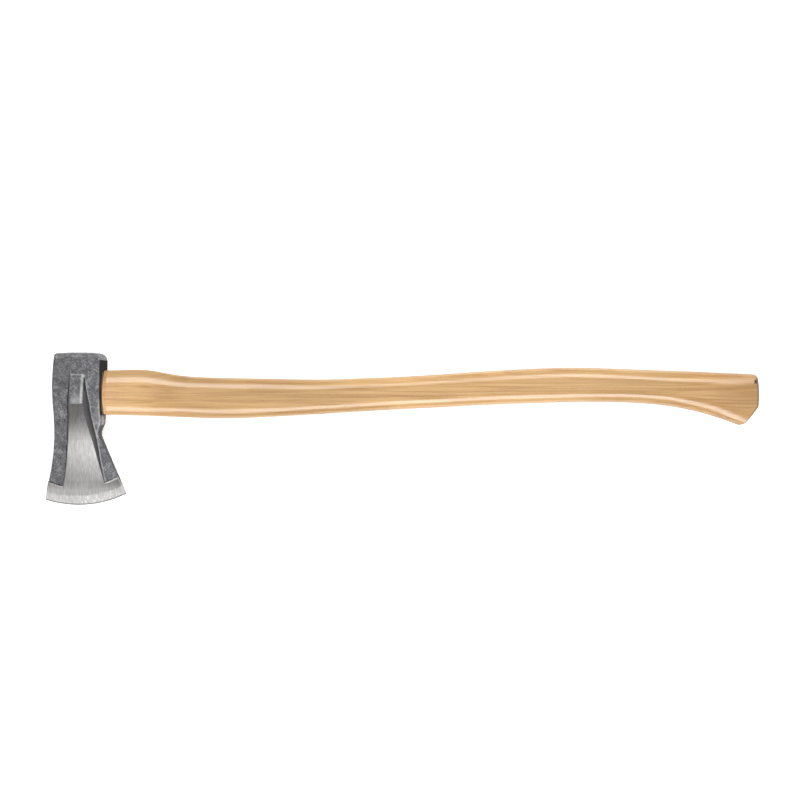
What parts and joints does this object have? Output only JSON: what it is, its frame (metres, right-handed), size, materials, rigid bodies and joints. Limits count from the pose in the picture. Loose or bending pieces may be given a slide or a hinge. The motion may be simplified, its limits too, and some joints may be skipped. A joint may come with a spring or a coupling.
{
  "type": "felling axe",
  "caption": "Felling axe: forged steel head with a splitting wing on each cheek, hung by wooden and steel wedges on a curved wooden haft with a fawn's foot knob.",
  "frame": {"origin": "on the surface that the axe lies on, under the middle of its bounding box", "axes": "+X along the haft from the head to the knob, +Y from the cutting edge to the poll, +Z out of the side that lies uppermost"},
  "size_m": [0.8972, 0.1922, 0.0534],
  "materials": {
    "forged_steel": "forged grey skin, with ground and brushed wing faces and a bright honed edge",
    "haft_wood": "straight-grained hickory under clear satin lacquer",
    "wedge_wood": "bare end grain",
    "wedge_steel": "bare rolled steel, hammered at the head"
  },
  "bodies": {
    "root": {"axe_head": "forged_steel", "haft": "haft_wood", "kerf_wedge": "wedge_wood", "steel_wedge_poll_side": "wedge_steel", "steel_wedge_bit_side": "wedge_steel"}
  },
  "joints": []
}
